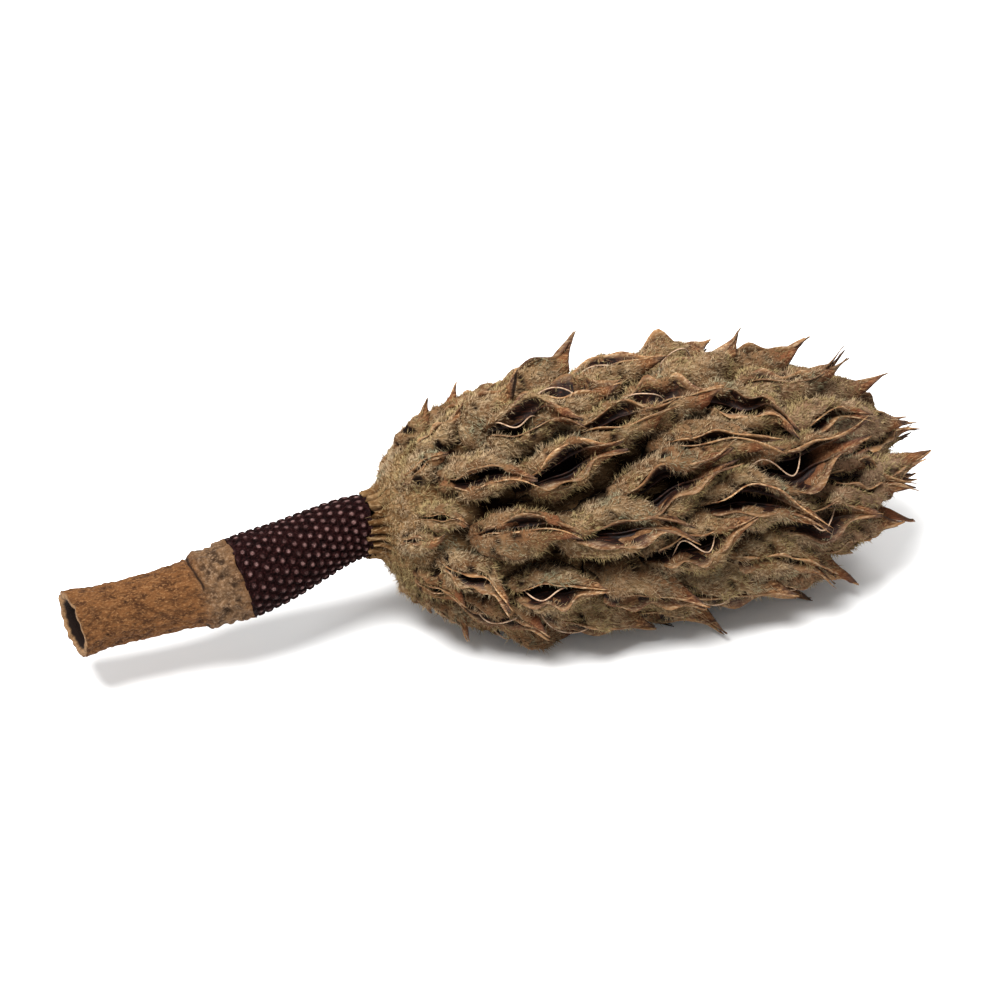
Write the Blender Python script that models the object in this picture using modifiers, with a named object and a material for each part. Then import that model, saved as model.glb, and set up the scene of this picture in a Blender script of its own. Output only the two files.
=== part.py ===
"""A dried magnolia seed pod that lies on its side: a cut stalk, the collar of stamen scars above it, and
the cone of split follicles, each with its slit and its beak.

Lengths are in metres and +Z is up. The pod rests on the plane Z = 0 with its tip towards +X, and the
origin is below the middle of its box.
"""

import math

import bmesh
import bpy
import numpy as np
from mathutils import Matrix, Vector

MM = 0.001
GOLDEN_ANGLE = math.pi * (3 - math.sqrt(5))

CONE_BASE = Vector((-21.04, -0.76, 20.5)) * MM  # where the cone's axis meets the collar
CONE_DROOP = math.radians(1.5)  # the tip lies a little lower than the base

# Radius of the cone over the lips of its follicles, and of the felted core that they grow from
LIPS_AT = np.array([0, 4, 10, 20, 35, 50, 60, 70, 77, 82, 86]) * MM
LIPS_RADIUS = np.array([5.0, 10.6, 15.0, 18.0, 19.0, 18.7, 17.5, 15.0, 11.4, 7.2, 1.5]) * MM
CORE_AT = np.array([0, 1.2, 3, 6, 10, 20, 45, 62, 72, 79, 82]) * MM
CORE_RADIUS = np.array([4.8, 5.3, 7.6, 10.8, 12.8, 13.4, 13.1, 11.6, 9.4, 5.0, 0]) * MM
CORE_SIDES = 18

# The follicles, placed by the golden angle with an even share of the surface each
FOLLICLES = 87
FIRST_FOLLICLE = 3 * MM
LAST_FOLLICLE = 81.5 * MM
FIRST_TURN = math.radians(20)
STEEPEST_LEAN = math.radians(46)  # of a follicle's back from the cone's axis, near the base
FLATTEST_LEAN = math.radians(-55)  # near the tip, where the follicles close over it
LIFT = math.radians(3)  # of every follicle's beak end off the surface
SLOPE_OVER = 6 * MM

# How the follicles differ: the spread of a normal draw, or the ends of an even one
SEED = 7
TURN_SPREAD = math.radians(3)
YAW_SPREAD = math.radians(11)
ROLL_SPREAD = math.radians(16)
SWERVE_SPREAD = 0.8
SIZES = (0.84, 1.12)
OPENED = (0.05, 1)
CURLS = (-0.3, 1)

# One follicle, cut across from its rooted heel to the tip of its beak. Each row gives the distance along
# it, the depth of its keel, the half width and height of its shoulder and of its lip, and the slit's floor
FOLLICLE_CUTS = (
    np.array(
        [
            [-3.0, -8.0, 1.4, -5.0, 0.6, -3.8, -3.6],
            [0.5, -9.0, 3.4, -1.5, 0.9, -0.2, -3.0],
            [5.0, -9.0, 4.3, -0.9, 1.7, 0.6, -5.5],
            [9.2, -6.5, 3.7, -0.7, 1.3, 0.9, -4.0],
            [12.2, -2.6, 1.9, -0.1, 0.75, 1.1, 0.1],
            [16.8, 1.4, 0.6, 1.9, 0.3, 2.5, 2.6],
        ]
    )
    * MM
)
WIDEST_GAPE = 1.7
NARROWEST_GAPE = 0.3
SMALLEST_SIZE = 0.5
TIP_SIZE = 0.82
GROWN_AFTER = 14 * MM
WANES_FROM = 55 * MM
BEAK_STARTS = 9.5 * MM
BEAK_CURL = 3.0 * MM
UNEVEN_LIPS = 0.5 * MM

# The weight of the pod flattens what would reach below the surface that it lies on
PRESSED_BELOW = 2.6 * MM
FLAT_SPOT_CUT = 0.75 * MM
SURFACE_CUTTER_SIDE = 200 * MM
SAME_PLANE = math.radians(2)

# The stem, by distance from the cone: how steeply it drops and swings towards -Y
STEM_AT = np.array([0, 5, 20, 30, 50]) * MM
STEM_DROP = np.array([0, 0.22, 0.21, 0.12, 0.10])
STEM_SWING = np.array([0, 0.14, 0.13, 0.08, 0.06])
JOINT_GAP = 0.3 * MM

COLLAR_LENGTH = 22 * MM
COLLAR_AT = np.array([0, 5, 12, 18, 22]) * MM
COLLAR_RADIUS = np.array([4.7, 5.0, 5.7, 6.3, 6.45]) * MM
SCARS_ROUND = 22
SCAR_ROWS = 15
SCAR_RELIEF = 0.45 * MM

STALK_AT = np.array([22.3, 23.4, 25, 26.6, 28.2, 29, 30, 33, 37, 41, 45, 48, 49.5]) * MM
STALK_RADIUS = np.array([6.2, 6.3, 6.0, 6.05, 5.9, 5.5, 5.3, 5.0, 4.8, 4.75, 4.85, 5.2, 5.25]) * MM
STALK_BEVEL_STEPS = 6

FELT = (0.42, 0.31, 0.18)
SCAR_BROWN = (0.07, 0.035, 0.035)
BARK = (0.40, 0.22, 0.10)


def clear_scene():
    for obj in list(bpy.data.objects):
        bpy.data.objects.remove(obj, do_unlink=True)


def collection(name):
    made = bpy.data.collections.new(name)
    bpy.context.scene.collection.children.link(made)
    return made


def matte(name, colour, roughness):
    material = bpy.data.materials.new(name)
    material.use_nodes = True
    shader = material.node_tree.nodes["Principled BSDF"]
    shader.inputs["Base Color"].default_value = (*colour, 1)
    shader.inputs["Roughness"].default_value = roughness
    return material


def mesh_object(name, mesh, into, material=None):
    obj = bpy.data.objects.new(name, mesh)
    into.objects.link(obj)
    if material:
        mesh.materials.clear()
        mesh.materials.append(material)
    return obj


def smooth(at, values, where):
    """A curve through (at, values) whose slope at each is that between its neighbours, read at where."""
    slopes = np.gradient(values, at)
    i = np.clip(np.searchsorted(at, where) - 1, 0, len(at) - 2)
    step = at[i + 1] - at[i]
    t = np.clip((where - at[i]) / step, 0, 1)
    rise = (1 + 2 * t) * (1 - t) ** 2 * values[i] + t * t * (3 - 2 * t) * values[i + 1]
    return rise + step * (t * (1 - t) ** 2 * slopes[i] - t * t * (1 - t) * slopes[i + 1])


def cone_frame():
    """The cone's axis, the direction that its turns start from, and the third direction."""
    axis = Vector((math.cos(CONE_DROOP), 0, -math.sin(CONE_DROOP)))
    side = Vector((0, -1, 0))
    return np.array(axis), np.array(side), np.array(side.cross(axis))


def press(points):
    """Heights under PRESSED_BELOW fade towards zero, in the same order, so nothing folds over."""
    low = points[:, 2] < PRESSED_BELOW
    points[low, 2] = PRESSED_BELOW * np.exp(points[low, 2] / PRESSED_BELOW - 1)
    return points


def follicle_size(along):
    """Follicles grow from the felted neck to the middle of the cone, and shrink a little to the tip."""
    grown = np.clip((along - FIRST_FOLLICLE) / GROWN_AFTER, 0, 1)
    waned = np.clip((along - WANES_FROM) / (LAST_FOLLICLE - WANES_FROM), 0, 1)
    return SMALLEST_SIZE + (1 - SMALLEST_SIZE) * grown - (1 - TIP_SIZE) * waned


def follicle_stations(draw):
    """Place along the axis, turn, size and gape of each follicle, from base to tip."""
    fine = np.linspace(FIRST_FOLLICLE, LAST_FOLLICLE, 400)
    radius = smooth(LIPS_AT, LIPS_RADIUS, fine)
    room = radius * np.hypot(1, np.gradient(radius, fine)) / follicle_size(fine) ** 2
    share = (np.arange(FOLLICLES) + 0.5) / FOLLICLES
    along = np.interp(share, np.cumsum(room) / np.sum(room), fine)
    turn = FIRST_TURN + np.arange(FOLLICLES) * GOLDEN_ANGLE + draw.normal(0, TURN_SPREAD, FOLLICLES)
    size = follicle_size(along) * draw.uniform(*SIZES, FOLLICLES)
    opened = np.clip((along - FIRST_FOLLICLE) / GROWN_AFTER, 0, 1) * draw.uniform(*OPENED, FOLLICLES)
    gape = NARROWEST_GAPE + (WIDEST_GAPE - NARROWEST_GAPE) * opened
    return along, turn, size, gape


def follicle_rings(size, gape, curl, swerve, twist):
    """The six corners of each cut across one follicle: keel, shoulder and lip up one side, the floor of
    the slit, and lip and shoulder down the other."""
    along, keel, shoulder, shoulder_z, lip, lip_z, floor = FOLLICLE_CUTS.T.copy()
    beak = np.clip((along - BEAK_STARTS) / (along[-1] - BEAK_STARTS), 0, 1)
    lip = lip * (gape * (1 - beak) + beak)
    shoulder = shoulder * (0.86 + 0.14 * gape)
    floor = lip_z + (floor - lip_z) * (0.55 + 0.45 * gape)
    bend = curl * beak ** 2 * BEAK_CURL
    sway = swerve * beak ** 2 * BEAK_CURL
    tilt = twist * UNEVEN_LIPS * np.sin(math.pi * np.clip(along / along[-1], 0, 1))
    middle = np.zeros_like(along)
    across = [middle, shoulder, lip, middle, -lip, -shoulder]
    height = [keel, shoulder_z + tilt, lip_z + tilt, floor, lip_z - tilt, shoulder_z - tilt]
    rings = [np.stack([along, y + sway, z + bend], axis=1) for y, z in zip(across, height)]
    return size * np.stack(rings, axis=1)


def place_follicle(rings, along, turn, yaw, roll):
    """Follicle coordinates to the pod's: the root goes to the cone's surface, and the beak points to the
    tip, leaning out as the surface does there."""
    axis, start, third = cone_frame()
    outward = math.cos(turn) * start + math.sin(turn) * third
    round_cone = np.cross(outward, axis)
    radius, ahead = smooth(LIPS_AT, LIPS_RADIUS, np.array([along, along + SLOPE_OVER]))
    slope = math.atan2(ahead - radius, SLOPE_OVER)
    lean = min(max(slope, FLATTEST_LEAN), STEEPEST_LEAN) + LIFT
    forward = math.cos(lean) * axis + math.sin(lean) * outward
    up = math.cos(lean) * outward - math.sin(lean) * axis
    basis = Matrix(np.stack([forward, round_cone, up], axis=1).tolist())
    basis = basis @ Matrix.Rotation(yaw, 3, "Z") @ Matrix.Rotation(roll, 3, "X")
    root = np.array(CONE_BASE) + along * axis + radius * outward
    return rings.reshape(-1, 3) @ np.array(basis).T + root


def loft(name, rings, shape):
    """A closed skin over rings of points, with a flat end at each. Each ring turns right-handed about
    the way from the first ring to the last, which makes the faces look outwards."""
    cuts, corners = shape
    bm = bmesh.new()
    verts = [bm.verts.new(p) for p in rings]
    for i in range(cuts - 1):
        for j in range(corners):
            k = (j + 1) % corners
            here, there = i * corners, (i + 1) * corners
            bm.faces.new((verts[here + j], verts[here + k], verts[there + k], verts[there + j]))
    bm.faces.new(verts[corners - 1 :: -1])
    bm.faces.new(verts[-corners:])
    bmesh.ops.triangulate(bm, faces=bm.faces, quad_method="BEAUTY", ngon_method="EAR_CLIP")
    mesh = bpy.data.meshes.new(name)
    bm.to_mesh(mesh)
    bm.free()
    return mesh


def add_core(name, into, material):
    """The body that the follicles grow from: a profile turned about the cone's axis."""
    profile = bpy.data.meshes.new(name)
    points = [(r, 0, z) for z, r in zip(CORE_AT[::-1], CORE_RADIUS[::-1])] + [(0, 0, CORE_AT[0])]
    profile.from_pydata(points, [(i, i + 1) for i in range(len(points) - 1)], [])
    core = mesh_object(name, profile, into, material)
    axis, start, third = cone_frame()
    turned = Matrix(np.stack([third, start, axis], axis=1).tolist()).to_4x4()
    core.matrix_world = Matrix.Translation(CONE_BASE) @ turned
    screw = core.modifiers.new("turn", "SCREW")
    screw.steps = screw.render_steps = CORE_SIDES
    screw.use_merge_vertices = True
    screw.merge_threshold = 0.00001
    return core


def apply_modifiers(obj):
    graph = bpy.context.evaluated_depsgraph_get()
    bpy.context.view_layer.update()
    mesh = bpy.data.meshes.new_from_object(obj.evaluated_get(graph))
    obj.modifiers.clear()
    obj.data = mesh


def outer_shell(obj):
    """Merges faces in one plane, and keeps the largest closed shell, without any pocket shut in it."""
    bm = bmesh.new()
    bm.from_mesh(obj.data)
    bmesh.ops.dissolve_limit(bm, angle_limit=SAME_PLANE, verts=bm.verts, edges=bm.edges)
    bmesh.ops.triangulate(bm, faces=bm.faces)
    shells = []
    unseen = set(bm.faces)
    while unseen:
        shell = [unseen.pop()]
        for face in shell:
            near = {other for edge in face.edges for other in edge.link_faces} & unseen
            unseen -= near
            shell.extend(near)
        shells.append(shell)
    shells.sort(key=len)
    for shell in shells[:-1]:
        bmesh.ops.delete(bm, geom=shell, context="FACES")
    bm.to_mesh(obj.data)
    bm.free()


def boolean(obj, operation, solver, other):
    modifier = obj.modifiers.new(operation.lower(), "BOOLEAN")
    modifier.operation = operation
    modifier.solver = solver
    if isinstance(other, bpy.types.Collection):
        modifier.operand_type = "COLLECTION"
        modifier.collection = other
    else:
        modifier.object = other
    return modifier


def add_follicles(into):
    draw = np.random.default_rng(SEED)
    stations = follicle_stations(draw)
    yaw = draw.normal(0, YAW_SPREAD, FOLLICLES)
    roll = draw.normal(0, ROLL_SPREAD, FOLLICLES)
    curl = draw.uniform(*CURLS, FOLLICLES)
    swerve = draw.normal(0, SWERVE_SPREAD, FOLLICLES)
    twist = draw.uniform(-1, 1, FOLLICLES)
    shape = (len(FOLLICLE_CUTS), 6)
    for k, (along, turn, size, gape) in enumerate(zip(*stations)):
        rings = follicle_rings(size, gape, curl[k], swerve[k], twist[k])
        points = press(place_follicle(rings, along, turn, yaw[k], roll[k]))
        mesh_object(f"follicle_{k}", loft("follicle", points, shape), into)


def surface_cutter(into):
    """A block whose top takes off the lowest FLAT_SPOT_CUT of the pod."""
    side = SURFACE_CUTTER_SIDE
    bpy.ops.mesh.primitive_cube_add(size=side, location=(0, 0, FLAT_SPOT_CUT - side / 2))
    block = bpy.context.object
    block.name = "surface_cutter"
    block.hide_render = True
    block.display_type = "WIRE"
    for home in list(block.users_collection):
        home.objects.unlink(block)
    into.objects.link(block)
    return block


def add_cone(into, cutters):
    """The core with its follicles, as one body with flat spots where it rests."""
    cone = add_core("follicle_cone", into, matte("felt", FELT, 0.95))
    repeats = collection("follicles")
    add_follicles(repeats)
    boolean(cone, "UNION", "MANIFOLD", repeats)
    apply_modifiers(cone)
    for obj in list(repeats.objects):
        bpy.data.objects.remove(obj, do_unlink=True)
    bpy.data.collections.remove(repeats)
    outer_shell(cone)
    boolean(cone, "DIFFERENCE", "MANIFOLD", surface_cutter(cutters))
    return cone


def stem_line(where):
    """Centre of the stem, and its direction away from the cone, at each distance in where."""
    fine = np.linspace(0, STEM_AT[-1], 401)
    axis, side, _ = cone_frame()
    down = np.cross(axis, side)
    drop = smooth(STEM_AT, STEM_DROP, fine)[:, None]
    swing = smooth(STEM_AT, STEM_SWING, fine)[:, None]
    heading = -axis + drop * down + swing * side
    heading /= np.linalg.norm(heading, axis=1)[:, None]
    step = fine[1] - fine[0]
    centres = np.array(CONE_BASE) + np.cumsum(heading, axis=0) * step - heading[0] * step
    pick = np.clip(np.round(where / step).astype(int), 0, len(fine) - 1)
    return centres[pick], heading[pick]


def add_collar(into):
    """The tapered collar. Every second corner of its net, offset from row to row, stands out as a scar."""
    rows = SCAR_ROWS + 2
    corners = 2 * SCARS_ROUND
    at = np.linspace(JOINT_GAP, COLLAR_LENGTH, rows)
    centres, heading = stem_line(at)
    radius = smooth(COLLAR_AT, COLLAR_RADIUS, at)
    row, corner = np.mgrid[0:rows, 0:corners]
    raised = ((row + corner) % 2 == 0) & (row > 0) & (row < rows - 1)
    out = radius[:, None] + np.where(raised, SCAR_RELIEF, 0) - SCAR_RELIEF / 2
    turn = corner * math.pi / SCARS_ROUND
    side = np.cross(heading, (0, 0, 1))
    side /= np.linalg.norm(side, axis=1)[:, None]
    down = np.cross(heading, side)
    spoke = np.cos(turn)[..., None] * side[:, None] + np.sin(turn)[..., None] * down[:, None]
    rings = centres[:, None] + out[..., None] * spoke
    mesh = loft("stamen_scar_collar", rings.reshape(-1, 3), (rows, corners))
    return mesh_object("stamen_scar_collar", mesh, into, matte("stamen scars", SCAR_BROWN, 0.6))


def add_stalk(into):
    """The woody stalk with the swollen ring below the collar: a curve with its own radius at each point."""
    centres, _ = stem_line(STALK_AT)
    curve = bpy.data.curves.new("stalk", "CURVE")
    curve.dimensions = "3D"
    curve.bevel_depth = 1
    curve.bevel_resolution = STALK_BEVEL_STEPS
    curve.use_fill_caps = True
    spline = curve.splines.new("POLY")
    spline.points.add(len(centres) - 1)
    for point, centre, radius in zip(spline.points, centres, STALK_RADIUS):
        point.co = (*centre, 1)
        point.radius = radius
    curve.materials.append(matte("bark", BARK, 0.8))
    stalk = bpy.data.objects.new("stalk", curve)
    into.objects.link(stalk)
    return stalk


def rest_on_surface(nodes, cutters):
    """Lowers everything by what the flat spots took off, so that they lie on Z = 0."""
    for obj in [*nodes, *cutters.objects]:
        obj.matrix_world = Matrix.Translation((0, 0, -FLAT_SPOT_CUT)) @ obj.matrix_world


def main():
    clear_scene()
    pod = collection("magnolia_seed_pod")
    cutters = collection("cutters")
    nodes = [add_cone(pod, cutters), add_collar(pod), add_stalk(pod)]
    rest_on_surface(nodes, cutters)


main()
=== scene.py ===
import math

import bpy
import numpy as np
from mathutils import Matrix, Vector


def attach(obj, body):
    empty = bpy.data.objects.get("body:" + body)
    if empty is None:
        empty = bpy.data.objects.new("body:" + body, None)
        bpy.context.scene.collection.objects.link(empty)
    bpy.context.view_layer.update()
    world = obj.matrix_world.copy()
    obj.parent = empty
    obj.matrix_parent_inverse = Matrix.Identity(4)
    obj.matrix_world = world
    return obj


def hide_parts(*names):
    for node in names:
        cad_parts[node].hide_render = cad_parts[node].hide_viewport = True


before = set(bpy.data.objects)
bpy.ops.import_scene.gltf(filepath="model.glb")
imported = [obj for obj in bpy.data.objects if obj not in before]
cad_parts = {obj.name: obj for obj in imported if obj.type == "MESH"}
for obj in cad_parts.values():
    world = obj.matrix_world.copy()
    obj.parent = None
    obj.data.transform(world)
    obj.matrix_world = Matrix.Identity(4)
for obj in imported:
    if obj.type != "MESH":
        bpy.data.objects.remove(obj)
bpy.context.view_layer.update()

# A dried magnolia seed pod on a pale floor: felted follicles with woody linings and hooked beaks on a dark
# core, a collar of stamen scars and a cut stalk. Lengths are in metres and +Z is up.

MM = 0.001
GOLDEN_ANGLE = math.pi * (3 - math.sqrt(5))

# The cone, its follicles and the stem, with the same values as in the solids
CONE_BASE = np.array([-21.04, -0.76, 20.5]) * MM
CONE_DROOP = math.radians(1.5)
LIPS_AT = np.array([0, 4, 10, 20, 35, 50, 60, 70, 77, 82, 86]) * MM
LIPS_RADIUS = np.array([5.0, 10.6, 15.0, 18.0, 19.0, 18.7, 17.5, 15.0, 11.4, 7.2, 1.5]) * MM
CORE_AT = np.array([0, 1.2, 3, 6, 10, 20, 45, 62, 72, 79, 82]) * MM
CORE_RADIUS = np.array([4.8, 5.3, 7.6, 10.8, 12.8, 13.4, 13.1, 11.6, 9.4, 5.0, 0]) * MM
FOLLICLES = 87
FIRST_FOLLICLE = 3 * MM
LAST_FOLLICLE = 81.5 * MM
FIRST_TURN = math.radians(20)
STEEPEST_LEAN = math.radians(46)
FLATTEST_LEAN = math.radians(-55)
LIFT = math.radians(3)
SLOPE_OVER = 6 * MM
SEED = 7
TURN_SPREAD = math.radians(3)
YAW_SPREAD = math.radians(11)
ROLL_SPREAD = math.radians(16)
SWERVE_SPREAD = 0.8
SIZES = (0.84, 1.12)
OPENED = (0.05, 1)
CURLS = (-0.3, 1)
FOLLICLE_CUTS = (
    np.array(
        [
            [-3.0, -8.0, 1.4, -5.0, 0.6, -3.8, -3.6],
            [0.5, -9.0, 3.4, -1.5, 0.9, -0.2, -3.0],
            [5.0, -9.0, 4.3, -0.9, 1.7, 0.6, -5.5],
            [9.2, -6.5, 3.7, -0.7, 1.3, 0.9, -4.0],
            [12.2, -2.6, 1.9, -0.1, 0.75, 1.1, 0.1],
            [16.8, 1.4, 0.6, 1.9, 0.3, 2.5, 2.6],
        ]
    )
    * MM
)
HEEL, TIP = FOLLICLE_CUTS[0, 0], FOLLICLE_CUTS[-1, 0]
WIDEST_GAPE = 1.7
NARROWEST_GAPE = 0.3
SMALLEST_SIZE = 0.5
TIP_SIZE = 0.82
FINE_STEPS = 400
GROWN_AFTER = 14 * MM
WANES_FROM = 55 * MM
BEAK_STARTS = 9.5 * MM
BEAK_CURL = 3.0 * MM
UNEVEN_LIPS = 0.5 * MM
PRESSED_BELOW = 2.6 * MM
FLAT_SPOT_CUT = 0.75 * MM
STEM_AT = np.array([0, 5, 20, 30, 50]) * MM
STEM_DROP = np.array([0, 0.22, 0.21, 0.12, 0.10])
STEM_SWING = np.array([0, 0.14, 0.13, 0.08, 0.06])
JOINT_GAP = 0.3 * MM
COLLAR_LENGTH = 22 * MM
COLLAR_AT = np.array([0, 5, 12, 18, 22]) * MM
COLLAR_RADIUS = np.array([4.7, 5.0, 5.7, 6.3, 6.45]) * MM
SCARS_ROUND = 22
SCAR_ROWS = 15
STALK_AT = np.array([22.3, 23.4, 25, 26.6, 28.2, 29, 30, 33, 37, 41, 45, 48, 49.5]) * MM
STALK_RADIUS = np.array([6.2, 6.3, 6.0, 6.05, 5.9, 5.5, 5.3, 5.0, 4.8, 4.75, 4.85, 5.2, 5.25]) * MM

# How finely each piece is drawn: rows along it and columns across or round it
VALVE_ROWS, VALVE_HALF_RING = 22, 16
LINING_ROWS, LINING_CORNERS, LINING_ACROSS = 22, 4, 7
NECK_ROWS, CORE_ROWS, CORE_COLUMNS = 40, 90, 120
COLLAR_ROWS, COLLAR_COLUMNS = 170, 216
STALK_ROWS, STALK_COLUMNS = 150, 180
THREAD_ROWS, THREAD_COLUMNS = 28, 6

# Valves: the corners across one, from its keel over the felted back to the lip and down into the slit. Each
# mixes the shoulder's and the lip's distance from the middle, and the heights of keel, shoulder, lip, slit
# floor and swell. Then come a drop and the share of a forked beak's notch that pulls the corner back.
VALVE_CORNERS = [
    [0, 0, 1, 0, 0, 0, 0, 0, 1],
    [0.72, 0, 0.65, 0.35, 0, 0, 0, 0, 0.7],
    [1, 0, 0.2, 0.8, 0, 0, 0, 0, 0.3],
    [0.97, 0, 0, 0.85, 0.15, 0, 0, 0, 0.1],
    [0.62, 0.38, 0, 0.15, 0.85, 0, 1, 0, 0],
    [0.12, 0.88, 0, 0, 1, 0, 0.4, 0, 0],
    [0, 1, 0, 0, 1, 0, 0, 0.25 * MM, 0],
    [0, 0.86, 0, 0, 0.6, 0.4, 0, 0, 0.1],
    [0, 0.55, 0, 0, 0.15, 0.85, 0, 0, 0.6],
    [0, 0, 0, 0, 0, 1, 0, 0, 1],
]
ROW_SPREAD = 0.9  # below 1, rows lie closer together towards the beak
ANY_START = (0, 6.3)  # where along its turn a wave starts
NARROW_BACK, SHALLOW_SLIT = 0.86, 0.55  # a closed follicle's width and slit depth as shares of an open one's
LIP_WAVE, LIP_WAVE_LENGTHS, LIP_RISE = 0.3, (0.9 * MM, 1.7 * MM), 0.5 * MM
LIP_ROLL, ROLLED_SHARE, ROLL_AMOUNTS, ROLL_RISE = 2.0 * MM, 0.45, (0.4, 1), 0.5  # some lips roll outwards
FORKED_SHARE = 0.5
FORK, FORK_NOTCH = (0.3 * MM, 1.1 * MM), 3.6 * MM  # how far a forked beak parts, and how far back
FORK_WALL, FORK_DEEPENS = 0.45 * MM, 4 * MM
POINT_LENGTH, POINTED = 3.2 * MM, 0.8
S_BEND = 0.8 * MM
CLOSED_SLIT = 0.15 * MM
SWELL, SWELLS, SWELL_ENDS = 0.5 * MM, (0.5, 1.3), 0.85 * TIP
NOISE_APART = 50 * MM  # each follicle reads the noise this far off at most
FOLD_HEIGHT, LUMP_HEIGHT, GRAIN_HEIGHT, PIT_DEPTH = 0.26 * MM, 0.5 * MM, 0.1 * MM, 0.7 * MM
SMOOTH_BEAK, SMOOTH_SLIT = 0.8, 0.85  # the share of the relief that is lost there
PITS, SOONER_BY_NECK = (0.85, 1.2), 0.3  # noise at which pits start and are deepest, and less by the neck
NECK_BLENDS = (6 * MM, 18 * MM)
DARK_FROM, DARK_OVER = 1.7 * MM, 3.4 * MM  # the painted shade's start below the lips, and the depth it takes
DARK_BREAKS = 1.1 * MM
PIT_SHADE = 0.95
TONE_DRAWN, TONE_BY_TIP, TONE_BY_LUMPS = 0.7, 0.3, 0.25
LAST_GREYED, LIP_BARENESS = 0.7, 0.75
LEAST_HAIRED = 0.1

# Stretches over which a valve's marks fade: of the half ring, from 0 at the keel to 1 in the slit, then of
# the beak, from 0 to 1 at its end, and of the whole length
BACK_STARTS, PITS_END, BACK_ENDS = (0, 0.1), (0.5, 0.6), (0.6, 0.68)
BARE_LIP, IN_SLIT = (0.52, 0.66), (0.66, 0.86)
PITS_TO_BEAK, SLIT_SHADE_ENDS, BARE_BEAK = (0, 0.3), (0, 0.4), (0.1, 0.55)
HAIRS_END = (9.5 * MM, 14 * MM)

# Linings: how far they stand proud of the lips, flare out and split at the beak
LINING_RUNS = (0.4 * MM, TIP + 0.2 * MM)
LINING_HALF_THICKNESS, THIN_END, THICKENS = 0.11 * MM, 0.15, 6
LINING_PROUD, LEAST_PROUD, PROUDER, LOW_ON_BEAK = 1.3 * MM, 0.3, (0.1, 0.9), 0.6
LINING_FLARE, LINING_FLARES = 1.2 * MM, (-0.3, 1)  # below 0 it curls into the slit
LINING_WAVE_LENGTHS = (0.7 * MM, 1.3 * MM)
LINING_OVERHANG, LINING_TUCK = 0.1 * MM, 0.2 * MM
LINING_FOOT, FORKED_FOOT = 0.4, 0.95  # where the strip starts, as a share of the slit's half width
FOOT_NEARS = (0, 0.5)  # the stretch of a forked beak over which that changes
FOOT_DEEPER, FOOT_RAISED, HALFWAY_DOWN = 0.95, 0.2, 0.5
BEAK_SPLIT, SPLIT_RISE = 1.1 * MM, 0.4
RIM, RIM_SHOWN = (0.7, 0.93), (0.45, 1)

# Hairs of the felt
VALVE_HAIR_PIECES = 3
HAIRS_A_PIECE = 44000
CORE_HAIRS = 15000
HAIR_LENGTHS = (0.5 * MM, 1.3 * MM)
HAIR_RADII = (0.045 * MM, 0.085 * MM)
HAIR_OUT, HAIR_AHEAD, HAIR_TUFTED, HAIR_SPREAD = 0.8, 0.6, 0.5, 0.25
# a hair's foot is darker partly as painted shade among the hairs
HAIR_PALENESS, TONE_DARKENS, PALENESS_SPREAD, SHADED_FOOT_TO_PALE_POINT, HAIR_SHADE = 0.6, 0.45, 0.2, 0.35, 0.85
STRAY_SHARE, STRAY_LENGTH, STRAY_THINNESS = 0.04, 1.8, 0.7

# Dry seed threads that hang out of some slits. Ranges are for the draws of each thread.
THREADS = 24
THREAD_RADIUS, THREAD_THIN_END, THREAD_THICKENS = 0.11 * MM, 0.2, 6
THREAD_STARTS, THREAD_LENGTHS = (-1 * MM, 2 * MM), (7.5 * MM, 10.5 * MM)
THREAD_SWAYS, THREAD_WAVES = (0.5 * MM, 1.8 * MM), (3, 9)
THREAD_ROOT, THREAD_RISES = -2.6 * MM, (3.6 * MM, 5.6 * MM)
ASKEW = (0.2, 0.3, 0.9)  # a direction that no thread follows

# The core: places of its rows, the neck's ridges and its ragged felt edge over the collar
UNDER_EDGE = [0.6 * MM, 0, 0]  # the first rows tuck under the ragged edge
NECK_SPAN, CORE_SPAN = (0.3 * MM, 12 * MM), (12.6 * MM, 81.8 * MM)
UNDERCUT = MM
NECK_RING_RADIUS = 9 * MM  # of the ring on which the neck's noises are read
NECK_RIDGES, RIDGE_HEIGHT, RIDGES_END, RIDGES_WAVER = 23, 0.46 * MM, (MM, 4.2 * MM), 2
NECK_EDGE, NECK_EDGE_FLARE, NECK_EDGE_ROWS = (0.2 * MM, 2.0 * MM), 0.35 * MM, 2
KNOB_HEIGHT, FIBRE_HEIGHT, KNOBS_START = 0.35 * MM, 0.15 * MM, (0, 3 * MM)
# where painted shade grows on the core between follicles, and its strength and patchiness by noise
CORE_SHADE_GROWS, HOLLOW_SHADE, HOLLOW_SPREAD = (5 * MM, 9 * MM), 0.55, 0.45
CORE_HAIRS_START, CORE_HAIRS_THIN, CORE_THINNED = (0.5 * MM, 3 * MM), (9 * MM, 13 * MM), 0.8
CORE_TONE, CORE_LEAST_HAIRED = 0.4, 0.2

# Collar and stalk
SCAR_DOME_RADIUS, SCAR_DOME_HEIGHT = 0.82 * MM, 0.6 * MM
SCAR_EDGE, SCAR_PIT = (0.192 * MM, 0.368 * MM), 0.1 * MM
ROW_WAVER, ROW_WAVES, COLUMN_WAVER, COLUMN_WAVES = 0.16, 5, 0.14, 1.7
SCARS_START = 0.8 * MM
SCAR_SHOWN, SCAR_SPREAD, SCAR_LEAST = 0.8, 0.35, 0.25
COLLAR_GRIT = 0.03 * MM
NODE_AT, NODE_LENGTH = 25.2 * MM, 3.2 * MM
CRACK_AT, CRACK_WIDTH, CRACK_DEPTH, CRACK_WAVER = 28.7 * MM, 0.28 * MM, 0.3 * MM, 0.4 * MM
CRACK_BROKEN, CRACK_SHADE = (-0.4, 0.5), 0.9
WRINKLE_HEIGHT, GRIT_HEIGHT, BULGE_HEIGHT, NODE_KNOB_HEIGHT = 0.05 * MM, 0.09 * MM, 0.07 * MM, 0.26 * MM
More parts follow.
